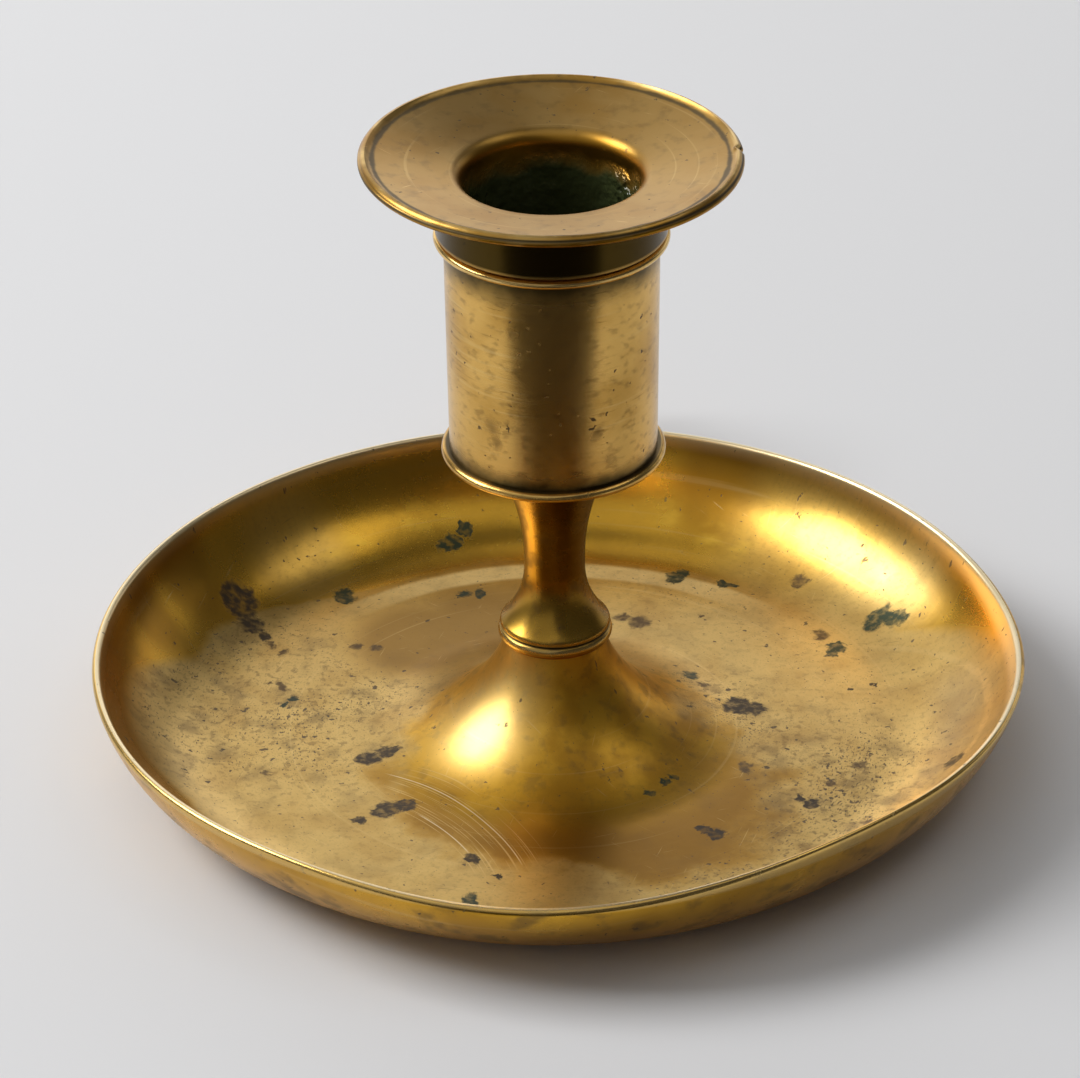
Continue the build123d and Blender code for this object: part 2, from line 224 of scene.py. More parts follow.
class PanSizes(PropertyGroup):
    """Sizes of the dished pan and its boss."""

    rim_radius: length("Radius at the outside of the lip", 70 * MM)
    rim_height: length("Height of the lip above the table", 15.5 * MM)
    wall_run: length("How far the wall leans out from floor to lip", 20 * MM)
    sheet: length("Thickness of the brass sheet", 1.3 * MM)
    boss_foot: length("Radius where the boss leaves the floor", 30 * MM)
    boss_height: length("Height of the boss, under the collar", top("pan"))
    hole: length("Radius of the hole for the stem's tenon", 2.55 * MM)


class StemSizes(PropertyGroup):
    """Sizes of the stem and its tenons."""

    waist: length("Radius at the narrowest place", 4.57 * MM)
    waist_length: length("Height of the straight stretch at the waist", 1.6 * MM)
    head: length("Radius under the socket", 9.8 * MM)
    bell_inset: length("How far the bell stands back from the collar", 0.3 * MM)
    bell_chamfer: length("Chamfer at the bell's foot", 0.2 * MM)
    bell_land: length("Upright band above the chamfer", 0.15 * MM)
    shoulder_arc: length("Radius of the bell's shoulder", 1.0 * MM)
    cove_arc: length("Radius of the cove above the shoulder", 13.0 * MM)
    lower_tenon: length("Radius of the tenon that goes down through the boss", 2.5 * MM)
    upper_tenon: length("Radius of the peened tenon", 3 * MM)
    peened_head: length("Radius of the peened head", 4.6 * MM)


class SocketSizes(PropertyGroup):
    """Sizes of the candle socket."""

    bore: length("Radius of the bore that takes the nozzle", 14.3 * MM)
    wall: length("Thickness of the wall at the lip", 1.4 * MM)
    taper: length("How much narrower the body is at its foot", 0.35 * MM)
    floor: length("Thickness of the floor", 2 * MM)
    hole: length("Radius of the hole for the stem's tenon", 3.05 * MM)
    foot_reach: length("How far the foot bead stands out", 1.2 * MM)
    foot_height: length("Height of the foot bead", 1.4 * MM)
    lip_height: length("Height of the lip bead", 1.2 * MM)


class NozzleSizes(PropertyGroup):
    """Sizes of the lift-off nozzle."""

    bore: length("Radius of the hole for the candle", 12.9 * MM)
    spigot: length("Radius of the spigot inside the socket", 14.2 * MM)
    spigot_length: length("Length of the spigot", 12 * MM)
    collar: length("Radius of the collar above the socket", 16.85 * MM)
    collar_height: length("Height of the collar", 8.5 * MM)
    collar_chamfer: length("Chamfer at the collar's foot", 0.4 * MM)
    mouth_round: length("Rounding of the mouth", 2.2 * MM)
    flange_thick: length("Thickness of the flange at the collar", 1.35 * MM)
    flange_slope: angle("Rise of the dished flange", 11)
    edge_width: length("Width of the raised edge", 2.1 * MM)
    edge_rise: length("Rise of the edge above the flange", 0.6 * MM)
    edge_lip: length("Height of the thin lip above the groove", 0.5 * MM)
    edge_bead: length("Height of the bead under the groove", 1 * MM)
    edge_groove: length("Depth of the groove", 0.25 * MM)
    bend_clock: angle("Where the flange is bent up, from +X", 180)
    bend_spread: angle("Half width of the bend", 60)
    bend_rise: length("How far the rim is bent up", 0.5 * MM)
    chip_clock: angle("Where the rim is chipped, from +X", 3)
    chip_width: length("Width of the chip", 1.6 * MM)
    chip_depth: length("Depth of the chip", 0.9 * MM)


class StageSettings(PropertyGroup):
    """The floor, card, lights and camera."""

    floor: colour("Colour of the pale floor", (0.79, 0.79, 0.80))
    card: colour("Colour of the dark card in front", (0.014, 0.012, 0.010))
    card_radius: length("Radius of the dark card", 255 * MM)
    card_distance: length("How far in front the card's middle is", 340 * MM)
    key: brightness("Brightness of the large panel at the left", 9.2)
    side: brightness("Brightness of the high panel at the right", 1.10)
    back: brightness("Brightness of the low panel behind", 0.96)
    horizon: brightness("Brightness of the wide strip behind", 0.36)
    flank: brightness("Brightness of the low panel at the right", 0.28)
    corner: brightness("Brightness of the panel in the corner", 0.50)
    front: brightness("Brightness of the panel in front", 0.28)
    overhead: brightness("Brightness of the panel above", 0.45)
    ambient: brightness("Strength of the light all round", 0.07)
    lens: length("Focal length of the camera", 166.67 * MM)
    camera_place: FloatVectorProperty(
        description="Where the camera stands", default=(0, -0.6463, 0.4067),
        subtype="TRANSLATION", unit="LENGTH",
    )
    camera_pitch: angle("How far the camera looks down", 29.95)
    camera_yaw: angle("How far the camera turns to its left", 0.19)
    camera_roll: angle("How far the camera leans", -0.61)


class ChamberstickSettings(PropertyGroup):
    """All settings of the chamberstick."""

    brass: PointerProperty(type=BrassColours)
    pan: PointerProperty(type=PanSizes)
    stem: PointerProperty(type=StemSizes)
    socket: PointerProperty(type=SocketSizes)
    nozzle: PointerProperty(type=NozzleSizes)
    stage: PointerProperty(type=StageSettings)


class Section:
    """A half section in the XZ plane, drawn stroke by stroke and then turned about Z."""

    def __init__(self, radius, height):
        self.mesh = bmesh.new()
        self.tip = self.mesh.verts.new((radius, 0, height))

    def line(self, radius, height, parts=1):
        """A straight stroke to a radius and a height."""
        step = (Vector((radius, 0, height)) - self.tip.co) / parts
        for _ in range(parts):
            made = bmesh.ops.extrude_vert_indiv(self.mesh, verts=[self.tip])
            self.tip = made["verts"][0]
            bmesh.ops.translate(self.mesh, verts=[self.tip], vec=step)

    def bow(self, radius, height, leave=None, arrive=None, parts=12):
        """An arc to a radius and a height, given its heading in degrees where it leaves or arrives."""
        run = radius - self.tip.co.x
        rise = height - self.tip.co.z
        chord = atan2(rise, run)
        heading = radians(leave) if arrive is None else 2 * chord - radians(arrive)
        half_turn = (chord - heading + pi) % (2 * pi) - pi
        reach_out = hypot(run, rise) / (2 * sin(half_turn))
        centre = self.tip.co + reach_out * Vector((-sin(heading), 0, cos(heading)))
        made = bmesh.ops.spin(
            self.mesh, geom=[self.tip], cent=centre, axis=(0, -1, 0), angle=2 * half_turn, steps=parts
        )
        self.tip = next(item for item in made["geom_last"] if isinstance(item, bmesh.types.BMVert))

    def turn(self, steps):
        """Sweep the section once about Z and return the closed mesh."""
        section = self.mesh.verts[:] + self.mesh.edges[:]
        bmesh.ops.spin(
            self.mesh, geom=section, cent=(0, 0, 0), axis=(0, 0, 1), angle=2 * pi, steps=steps, use_merge=True
        )
        bmesh.ops.remove_doubles(self.mesh, verts=self.mesh.verts[:], dist=0.001 * MM)
        bmesh.ops.recalc_face_normals(self.mesh, faces=self.mesh.faces[:])
        return self.mesh


def add_piece(mesh, name, body, node, materials, sharp=38):
    """Make a finished mesh the piece that stands for a node, riding on a body."""
    data = bpy.data.meshes.new(name)
    mesh.to_mesh(data)
    mesh.free()
    data.shade_smooth()
    data.set_sharp_from_angle(angle=radians(sharp))
    for material in materials:
        data.materials.append(material)
    piece = bpy.data.objects.new(name, data)
    bpy.context.scene.collection.objects.link(piece)
    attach(piece, body)
    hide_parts(node)


class Value:
    """A number that varies over a surface. Python's operators on it add Math nodes."""

    def __init__(self, finish, socket):
        self.finish = finish
        self.socket = socket

    def math(self, operation, *others):
        return self.finish.math(operation, self, *others)

    def __add__(self, other):
        return self.math("ADD", other)

    __radd__ = __add__

    def __sub__(self, other):
        return self.math("SUBTRACT", other)

    def __rsub__(self, other):
        return self.finish.math("SUBTRACT", other, self)

    def __mul__(self, other):
        return self.math("MULTIPLY", other)

    def highest(self, other):
        return self.math("MAXIMUM", other)

    def fade(self, low, high):
        """0 up to low, 1 from high on, and a smooth rise between them. low may be above high."""
        ends = {"From Min": low, "From Max": high} if low < high else {"From Min": high, "From Max": low}
        rise = self.finish.node(
            "ShaderNodeMapRange", {"interpolation_type": "SMOOTHSTEP"}, {"Value": self, **ends}
        )
        return rise if low < high else 1 - rise


class Brass:
    """Aged brass for one surface, laid on in layers from the bare metal up."""

    def __init__(self, name, tone, rough):
        self.material = bpy.data.materials.new(name)
        self.material.use_nodes = True
        self.tree = self.material.node_tree
        self.tree.nodes.clear()
        self.spot = self.node("ShaderNodeTexCoord", output="Object")
        self.x, self.y, self.z = self.node("ShaderNodeSeparateXYZ", {}, {0: self.spot}, ("X", "Y", "Z"))
        self.radius = (self.x * self.x + self.y * self.y).math("SQRT")
        self.clock = self.x.math("ARCTAN2", self.y * -1)
        self.tones = settings().brass
        self.tint = (*getattr(self.tones, tone), 1)
        self.rough = rough
        self.metallic = 1
        self.height = 0

    def node(self, kind, settings=None, sockets=None, output=0):
        """Add a node: its settings first, then the values or links of its sockets."""
        made = self.tree.nodes.new(kind)
        for key, value in (settings or {}).items():
            setattr(made, key, value)
        for key, value in (sockets or {}).items():
            if isinstance(value, Value):
                self.tree.links.new(value.socket, made.inputs[key])
            else:
                made.inputs[key].default_value = value
        if isinstance(output, tuple):
            return tuple(Value(self, made.outputs[key]) for key in output)
        return None if output is None else Value(self, made.outputs[output])

    def math(self, operation, *values):
        return self.node("ShaderNodeMath", {"operation": operation}, dict(enumerate(values)))

    def vector(self, x, y, z):
        return self.node("ShaderNodeCombineXYZ", {}, {0: x, 1: y, 2: z})

    def noise(self, spot, scale, detail=3, output="Fac"):
        return self.node("ShaderNodeTexNoise", {}, {"Vector": spot, "Scale": scale, "Detail": detail}, output)

    def cloud(self, scale, detail):
        return self.noise(self.spot, scale, detail)

    def mix(self, first, second, share):
        return self.node("ShaderNodeMix", {"data_type": "RGBA"}, {0: share, 6: first, 7: second}, 2)

    def warp(self, spot, scale, amount):
        """A place pushed about by noise, so that what is drawn there gets a ragged outline."""
        push = self.noise(spot, scale, 4, "Color")
        push = self.node("ShaderNodeVectorMath", {"operation": "SUBTRACT"}, {0: push, 1: (0.5, 0.5, 0.5)})
        push = self.node("ShaderNodeVectorMath", {"operation": "SCALE"}, {0: push, "Scale": amount})
        return self.node("ShaderNodeVectorMath", {"operation": "ADD"}, {0: spot, 1: push})

    def cover(self, share, tone, rough, metallic=None, lift=0):
        """Lay a coat over part of the surface: the name of its tone, its roughness, metal and thickness."""
        self.tint = self.mix(self.tint, (*getattr(self.tones, tone), 1), share)
        self.rough = self.rough + share * (rough - self.rough)
        if metallic is not None:
            self.metallic = self.metallic + share * (metallic - self.metallic)
        if lift:
            self.height = self.height + share * lift

    def stripe(self, value, place, fringe, full):
        """1 within a full distance of a place, and 0 beyond the fringe."""
        return (value - place).math("ABSOLUTE").fade(fringe, full)

    def rings(self, fine, coarse):
        """Turning rings round the axis: how fine they are, and how fast they change on the way round."""
        return self.noise(self.vector(self.radius * fine, self.x * coarse, self.y * coarse), 1, 3)

    def specks(self, scale, clouds, share):
        """Small specks over the whole surface, more of them in the clouds."""
        return self.flecks(self.spot, scale, clouds.fade(0.45, 0.7) * share)

    def flecks(self, plan, scale, share):
        """How strongly each point is flecked: small ragged specks, more of them where the share is higher."""
        return (self.noise(plan, scale, 3) + share).fade(0.69, 0.73)

    def scratches(self, plan, heading, rarity=0.70):
        """Fine straight scratches that run one way, fewer of them where the rarity is higher."""
        x, y, z = self.node("ShaderNodeSeparateXYZ", {}, {0: plan}, ("X", "Y", "Z"))
        along = x * cos(heading) + y * sin(heading)
        across = y * cos(heading) - x * sin(heading)
        return self.noise(self.vector(along * 120, across * 2800, 0), 1, 2).fade(rarity, rarity + 0.06)

    def gap(self, plan, x, y):
        """The distance from a point on the plan, which is given in millimetres."""
        place = (x * MM, y * MM, 0)
        return self.node("ShaderNodeVectorMath", {"operation": "DISTANCE"}, {0: plan, 1: place}, "Value")

    def patches(self, plan, places):
        """The strongest of several soft round patches, each full in its middle and gone beyond its fringe."""
        strongest = 0
        for x, y, full, fringe, strength in places:
            patch = self.gap(plan, x, y).fade((full + fringe) * MM, full * MM) * strength
            strongest = patch.highest(strongest)
        return strongest

    def marks(self, plan, places, solid=0.75):
        """How strongly each point is marked: the strongest of the marks round it, each full in its middle."""
        strongest = 0
        for x, y, size in places:
            mark = self.gap(plan, x, y).fade(size * MM, solid * size * MM)
            strongest = mark.highest(strongest)
        return strongest

    def finish(self, anisotropic=0.0, coat=0.0):
        """Join the layers to the shader and return the material."""
        bump = self.node("ShaderNodeBump", {}, {"Strength": 1.0, "Distance": 1.0, "Height": self.height})
        shader = self.node(
            "ShaderNodeBsdfPrincipled", {},
            {
                "Base Color": self.tint, "Roughness": self.rough, "Metallic": self.metallic,
                "Normal": bump, "Anisotropic": anisotropic, "Anisotropic Rotation": BRUSH_TURN,
                "Coat Weight": coat, "Coat Roughness": COAT_ROUGHNESS,
            },
        )
        self.node("ShaderNodeOutputMaterial", {}, {"Surface": shader}, None)
        return self.material


def settings():
    """The chamberstick's settings in the scene."""
    return bpy.context.scene.chamberstick


def pan_floor(brass, plan, sizes):
    """Brown film on the brass and the beige floor over it, which is partly drier brass and partly a paler
    copy painted where the floor reflects bright light. Returns how beige each point is.
    """
    floor_radius = sizes.rim_radius - sizes.wall_run
    clouds = brass.cloud(40, 5)
    brass.cover(clouds.fade(0.40, 0.70) * 0.35, "film", 0.28)
    brown = brass.patches(plan, BROWN_FILM)
    # Brown film, and painted shade on the walls in the same film colour
    brass.cover(brown.highest(brass.patches(plan, PAINTED_WALL_SHADE)) * 0.7, "film", 0.30)
    brass.cover(brown * 0.5, "russet", 0.32)
    boss = brass.radius.fade(sizes.boss_foot + 4 * MM, sizes.boss_foot - 8 * MM)
    brass.cover(brass.cloud(150, 5).fade(0.42, 0.64) * boss * 0.55, "film", 0.38)
    brass.cover(brass.cloud(430, 5).fade(0.50, 0.72) * boss * 0.40, "umber", 0.42)
    brass.rough = brass.rough + boss * 0.09

    # The beige stops at the crease behind and runs up the wall at the sides
    drift = (brass.cloud(90, 5) - 0.5) * (14 * MM)
    behind = brass.y.fade(30 * MM, 44 * MM)
    reach_out = brass.radius + drift * 0.3 + behind * (8 * MM)
    level = reach_out.fade(floor_radius + 9.4 * MM, floor_radius + 7.6 * MM)
    for x, y, start, end in (BEIGE_RIGHT, BEIGE_LEFT):
        side = brass.gap(plan, x, y) + drift * 0.15
        level = level.highest(side.fade(start * MM, end * MM))
    inner = 1
    for x, y, start, end in BOSS_REFLECTION_FRONT:
        inner = (brass.gap(plan, x, y) + drift * 1.7).fade(start * MM, end * MM) * inner
    # Beige wall patches join the floor's beige; one, high on the right back wall, is painted round the
    # highlight to make it paler
    level = level.highest(brass.patches(plan, BEIGE_WALL_AND_HIGHLIGHT)) * inner * (1 - brown * 0.85)
    brass.cover(level * (0.82 - behind * 0.40), "beige", 0.36)
    # Painted reflection of the boss and stem on the floor in front of them, as darker golden-brown film
    painted_boss_reflection = (1 - inner) * (1 - boss)
    brass.cover(painted_boss_reflection * 0.85, "film", 0.36)
    brass.cover(painted_boss_reflection * 0.25, "russet", 0.36)
    # Painted highlight on the boss's left flank, in the pale rubbed colour
    brass.cover(brass.patches(plan, BOSS_HIGHLIGHT_PATCH), "rubbed", 0.36)
    # Duller, darker brass high on the right wall: partly dull patina, partly painted shade
    dull = brass.patches(plan, DULL_SHADED_WALL) * brass.radius.fade(55 * MM, 61 * MM)
    brass.cover(dull * 0.9, "beige", 0.48, 0.45)
    brass.cover(dull * 0.25, "umber", 0.48)

    # A pale band painted as the highlight beside the crease at the back, and a faint paler line in the beige
    # at the right
    band = (brass.radius - floor_radius + 2.9 * MM).math("ABSOLUTE") + drift * 0.06
    brass.cover(band.fade(2.8 * MM, 1.5 * MM) * behind * 0.9, "rubbed", 0.55, 0.5)
    right_gap = brass.gap(plan, *BEIGE_RIGHT[:2]) + drift * 0.15
    edge = brass.stripe(right_gap, 25.4 * MM, 0.9 * MM, 0.2 * MM)
    brass.cover(edge * brass.x.fade(46 * MM, 54 * MM) * 0.3, "rubbed", 0.26)
    return level


def pan_dirt(brass, plan, swept, level):
    """Dirt and scuffs, thickest at the front right and the left. Returns how dirty each point is."""
    busy = brass.patches(plan, DIRTY_FLOOR) * 0.7 + 0.3
    dirt = brass.noise(plan, 170, 5).fade(0.46, 0.70)
    brass.cover(dirt * busy * (level * 0.75 + 0.25) * 0.6, "umber", 0.42)
    speckle = brass.noise(plan, 850, 6).fade(0.52, 0.66)
    brass.cover(speckle * busy * level * 0.5, "umber", 0.42)
    blotches = brass.noise(plan, 95, 6).fade(0.45, 0.66)
    brass.cover(blotches * level * 0.28, "film", 0.38)
    scuffs = brass.noise(swept, 1500, 4).fade(0.53, 0.72)
    brass.cover(scuffs * (level * busy * 0.40 + 0.06), "umber", 0.38)
    return busy


def pan_scratches(brass, plan, level):
    """Hairlines every way, and the fan of longer scratches in front of the boss."""
    for heading in (0.35, 1.25, 2.4):
        brass.cover(brass.scratches(plan, heading) * 0.35, "rubbed", 0.24)
    for heading in (0.8, 2.9):
        brass.cover(brass.scratches(plan, heading, 0.73) * level * 0.45, "tarnish", 0.4)
    swing = brass.gap(plan, *FAN_MIDDLE)
    arcs = brass.noise(brass.vector(swing * 3800, brass.x * 45, brass.y * 45), 1, 2).fade(0.56, 0.64)
    fan = brass.patches(plan, FAN_PATCH) * swing.fade(34.5 * MM, 36.5 * MM) * swing.fade(49 * MM, 46 * MM)
    brass.cover(arcs * fan * 0.5, "rubbed", 0.24)
    deep = 0
    for arc, width, places in DEEP_SCRATCHES:
        scratch = brass.stripe(swing, arc * MM, width * MM, 0.03 * MM) * brass.patches(plan, places)
        deep = scratch.highest(deep)
    brass.cover(deep * 0.7, "pale", 0.34)


def pan_stains(brass, plan, swept, level, busy):
    """Flecks, painted glints of reflected light on the wall, and stains."""
    crowd = brass.noise(plan, 60, 4).fade(0.36, 0.64)
    share = crowd * busy * (level * 0.75 + 0.25) * 0.12
    brass.cover(brass.flecks(swept, 1300, share) * 0.8, "tarnish", 0.5, 0.6, -0.006 * MM)
    brass.cover(brass.flecks(plan, 620, share * 0.7) * 0.8, "tarnish", 0.5, 0.5, -0.01 * MM)
    ragged = brass.warp(brass.warp(plan, 260, 3.6 * MM), 1100, 1.9 * MM)
    # Painted glints: bright yellow patches on the wall where it reflects the light
    etched = brass.marks(plan, PAINTED_GLINT_MARKS, 0)
    brass.cover(etched * brass.noise(swept, 260, 6).fade(0.36, 0.72) * 0.5, "etched", 0.34)
    patchy = brass.noise(plan, 800, 4).fade(0.30, 0.58) * 0.40 + 0.58
    brass.cover(brass.marks(ragged, BROWN_MARKS, 0.5) * patchy, "umber", 0.45, 0.9)
    brass.cover(brass.marks(ragged, BLACK_MARKS, 0.7) * patchy, "tarnish", 0.5, 0.85)
    brass.cover(brass.marks(ragged, GREEN_MARKS, 0.7) * patchy, "verdigris", 0.45, 0.8)


def pan_inside():
    """Golden brass, beige and flecked on the floor, with the pan's stains, scratches and rubbed edges, and
    painted highlights, glints, shade and reflections.
    """
    sizes = settings().pan
    brass = Brass("pan_inside", "gold", 0.26)
    plan = brass.vector(brass.x, brass.y, 0)
    floor_radius = sizes.rim_radius - sizes.wall_run
    swept = brass.vector(brass.radius * 2.2, brass.clock * floor_radius, 0)
    level = pan_floor(brass, plan, sizes)
    busy = pan_dirt(brass, plan, swept, level)

    # Turning rings, waves of the sheet, and the lip, rubbed paler and partly painted as a highlight
    rings = brass.rings(1300, 18)
    brass.cover(rings.fade(0.60, 0.74) * 0.20, "rubbed", 0.22)
    waves = brass.cloud(130, 3) * (0.07 * MM) + brass.cloud(620, 2) * (0.009 * MM)
    brass.height = rings * (0.004 * MM) + waves
    lip = brass.radius.fade(sizes.rim_radius - 2.2 * MM, sizes.rim_radius - 0.8 * MM)
    brass.cover(lip * 0.9, "pale", 0.36)
    pan_scratches(brass, plan, level)
    pan_stains(brass, plan, swept, level, busy)
    return brass.finish(0.2, coat=0.15)


def pan_outside():
    """Brass under the pan and outside its wall, with dull smudges and a rubbed lip."""
    sizes = settings().pan
    brass = Brass("pan_outside", "gold", 0.27)
    clouds = brass.cloud(60, 5)
    brass.cover(clouds.fade(0.36, 0.68) * 0.5, "film", 0.32)
    smudges = brass.cloud(190, 5)
    brass.cover(smudges.fade(0.50, 0.70) * 0.6, "umber", 0.42, 0.9)
    brass.cover(brass.specks(800, clouds, 0.05) * 0.7, "tarnish", 0.5, 0.6)
    rings = brass.rings(1300, 18)
    brass.cover(rings.fade(0.60, 0.74) * 0.22, "rubbed", 0.24)
    lip = brass.z.fade(sizes.rim_height - 1.3 * MM, sizes.rim_height - 0.5 * MM)
    brass.cover(lip * 0.6, "rubbed", 0.22)
    brass.height = brass.cloud(140, 3) * (0.05 * MM) + rings * (0.004 * MM)
    return brass.finish(0.3)


def stem_brass():
    """Warm brass of the stem and collar, with grime in the seams beside the collar, and less film painted on
    its lit left front as a highlight.
    """
    brass = Brass("stem_brass", "amber", 0.28)
    clouds = brass.cloud(110, 4)
    waist = brass.z.fade(top("stem_collar") + 3 * MM, top("stem_collar") + 8 * MM)
    # Less film on the left front of the stem: a lighter stripe painted where the highlight falls
    bare = brass.clock.fade(-1.7, -1.2) * brass.clock.fade(-0.35, -0.75)
    film = clouds.fade(0.36, 0.62) * 0.2 + waist * 0.42 + 0.35
    brass.cover(film * (1 - bare * 0.8), "russet", 0.26)
    brass.cover(brass.cloud(420, 5).fade(0.50, 0.70) * 0.5, "umber", 0.38)
    lines = brass.noise(brass.vector(brass.x * 30, brass.y * 30, brass.z * 1500), 1, 3)
    brass.height = lines * (0.006 * MM)
    brass.cover(brass.flecks(brass.spot, 900, clouds.fade(0.5, 0.7) * 0.04) * 0.6, "tarnish", 0.5, 0.6)
    seam = brass.stripe(brass.z, top("stem_collar"), 0.38 * MM, 0.10 * MM)
    foot = brass.stripe(brass.z, bottom("stem_collar"), 0.38 * MM, 0.10 * MM)
    neck = brass.z.fade(bottom("candle_socket") - 1.6 * MM, bottom("candle_socket") - 0.1 * MM)
    brass.cover(seam.highest(foot) * 0.9, "grime", 0.6, 0.4)
    brass.cover(neck * 0.6, "grime", 0.5, 0.7)
    rubbed = brass.radius.fade(reach("stem_collar") - 0.45 * MM, reach("stem_collar") - 0.1 * MM)
    brass.cover(rubbed * 0.5, "rubbed", 0.2)
    return brass.finish(0.3)


def socket_brass():
    """Buff brass of the socket: turning lines, streaks, stains, and grime beside the beads."""
    sizes = settings().socket
    brass = Brass("socket_brass", "buff", 0.24)
    wall = brass.vector(brass.clock * (sizes.bore + sizes.wall), brass.z, 0)
    clouds = brass.cloud(85, 5)
    brass.cover(clouds.fade(0.42, 0.70) * 0.45, "film", 0.25)
    mottle = brass.noise(brass.vector(brass.x, brass.y, brass.z * 1.8), 520, 5)
    brass.cover(mottle.fade(0.50, 0.72) * 0.40, "umber", 0.28)
    lines = brass.noise(brass.vector(brass.x * 45, brass.y * 45, brass.z * 1900), 1, 4)
    brass.height = lines * (0.008 * MM)
    brass.cover(lines.fade(0.56, 0.70) * 0.30, "rubbed", 0.25)
    dashes = brass.noise(brass.vector(brass.x * 190, brass.y * 190, brass.z * 3400), 1, 3)
    brass.cover(dashes.fade(0.62, 0.72) * clouds.fade(0.35, 0.60) * 0.45, "russet", 0.3)
    dots = brass.flecks(wall, 700, clouds.fade(0.45, 0.70) * 0.03)
    brass.cover(dots * 0.8, "tarnish", 0.5, 0.5, -0.02 * MM)
    ragged = brass.warp(brass.warp(wall, 200, 5 * MM), 900, 1.5 * MM)
    brass.cover(brass.marks(ragged, SOCKET_SMUDGES, 0.1) * 0.5, "umber", 0.38, 0.9)
    brass.cover(brass.marks(ragged, SOCKET_DOTS) * 0.85, "tarnish", 0.5, 0.6)
    foot_seam = bottom("candle_socket") + sizes.foot_height
    lip_seam = top("candle_socket") - sizes.lip_height
    ragged_z = brass.z + (brass.cloud(200, 4) - 0.5) * (3.4 * MM)
    above_foot = ragged_z.fade(foot_seam + 3.2 * MM, foot_seam - 0.4 * MM)
    below_lip = ragged_z.fade(lip_seam - 5.4 * MM, lip_seam - 0.2 * MM)
    body = brass.radius.fade(reach("candle_socket") - 0.9 * MM, reach("candle_socket") - 1.4 * MM)
    brass.cover(above_foot.highest(below_lip) * body * 0.90, "grime", 0.34, 0.9)
    beads = brass.radius.fade(reach("candle_socket") - 0.5 * MM, reach("candle_socket") - 0.1 * MM)
    brass.cover(beads * 0.6, "rubbed", 0.2)
    inside = brass.radius.fade(sizes.bore + 0.3 * MM, sizes.bore + 0.1 * MM)
    brass.cover(inside * 0.95, "soot", 0.5, 0.2)
    return brass.finish(0.5)


def nozzle_brass():
    """Dull buff flange with a rubbed edge and a browner mouth, painted shade on the neck under the flange,
    and a green-black bore.
    """
    sizes = settings().nozzle
    rim = reach("nozzle")
    brass = Brass("nozzle_brass", "dun", 0.35)
    plan = brass.vector(brass.x, brass.y, 0)
    clouds = brass.cloud(95, 5)
    brass.cover(clouds.fade(0.38, 0.72) * 0.5, "film", 0.36)
    mottle = brass.cloud(480, 5)
    brass.cover(mottle.fade(0.50, 0.75) * 0.30, "umber", 0.38)
    rings = brass.rings(1500, 30)
    brass.height = rings * (0.005 * MM)
    brass.cover(rings.fade(0.60, 0.74) * 0.2, "rubbed", 0.26)
    flange = brass.radius.fade(sizes.collar + 0.1 * MM, sizes.collar + 0.6 * MM)
    for heading, share in ((0.9, 0.4), (2.55, 0.55)):
        brass.cover(brass.scratches(plan, heading) * flange * share, "rubbed", 0.24)
    brass.cover(brass.specks(850, clouds, 0.03) * 0.75, "tarnish", 0.5, 0.5)
    corner = rim - sizes.edge_width
    line = (brass.radius - corner).math("ABSOLUTE") + (brass.cloud(260, 4) - 0.5) * (0.9 * MM)
    over = brass.z.fade(top("candle_socket") + sizes.collar_height + 0.9 * MM, top("nozzle") - 2.2 * MM)
    brass.cover(line.fade(0.55 * MM, 0.1 * MM) * over * 0.75, "grime", 0.5, 0.6)
    edge = brass.radius.fade(rim - 1.5 * MM, rim - 1.0 * MM)
    brass.cover(edge * brass.cloud(180, 3).fade(0.40, 0.68) * 0.6, "rubbed", 0.26)
    groove = brass.stripe(brass.z, top("nozzle") - sizes.edge_lip, 0.28 * MM, 0.08 * MM)
    outer = brass.radius.fade(rim - 0.75 * MM, rim - 0.5 * MM)
    brass.cover(outer * 0.5, "film", 0.30)
    brass.cover(groove * outer * 0.85, "grime", 0.5, 0.6)
    bead = brass.z.fade(top("nozzle") - 0.6 * MM, top("nozzle") - 0.9 * MM) * outer
    worn = brass.noise(brass.vector(brass.x, brass.y, brass.z * 2), 260, 4).fade(0.40, 0.62)
    brass.cover(bead * (0.85 - worn * 0.75), "film", 0.28)
    flange_under = top("candle_socket") + sizes.collar_height
    neck = brass.z.fade(flange_under + 0.8 * MM, flange_under - 0.2 * MM)
    foot = brass.z.fade(top("candle_socket") + 0.5 * MM, top("candle_socket") + 1.0 * MM)
    outside = brass.radius.fade(sizes.spigot, sizes.spigot + 0.4 * MM)
    # Painted shade on the neck under the flange
    brass.cover(neck * foot * outside * 0.92, "olive", 0.24, 1)
    mouth = brass.stripe(brass.radius, sizes.bore + 0.7 * MM, 0.9 * MM, 0.2 * MM)
    brass.cover(mouth * 0.35, "film", 0.40)
    inside = brass.radius.fade(sizes.bore + 0.9 * MM, sizes.bore + 0.1 * MM)
    brass.cover(inside * 0.8, "film", 0.34)
    drip = brass.z + (brass.cloud(150, 4) - 0.5) * (7 * MM)
    deep = drip.fade(flange_under - 1.5 * MM, flange_under - 6.0 * MM) * inside
    brass.cover(deep * 0.95, "soot", 0.26, 0.0)
    wet = brass.cloud(480, 3)
    crust = brass.x.fade(7 * MM, 11 * MM) * deep
    brass.height = brass.height + brass.cloud(440, 2) * (deep * (0.6 * MM) + crust * (2.6 * MM))
    brass.rough = brass.rough - wet.fade(0.42, 0.52) * deep * 0.19
    return brass.finish(0.3)


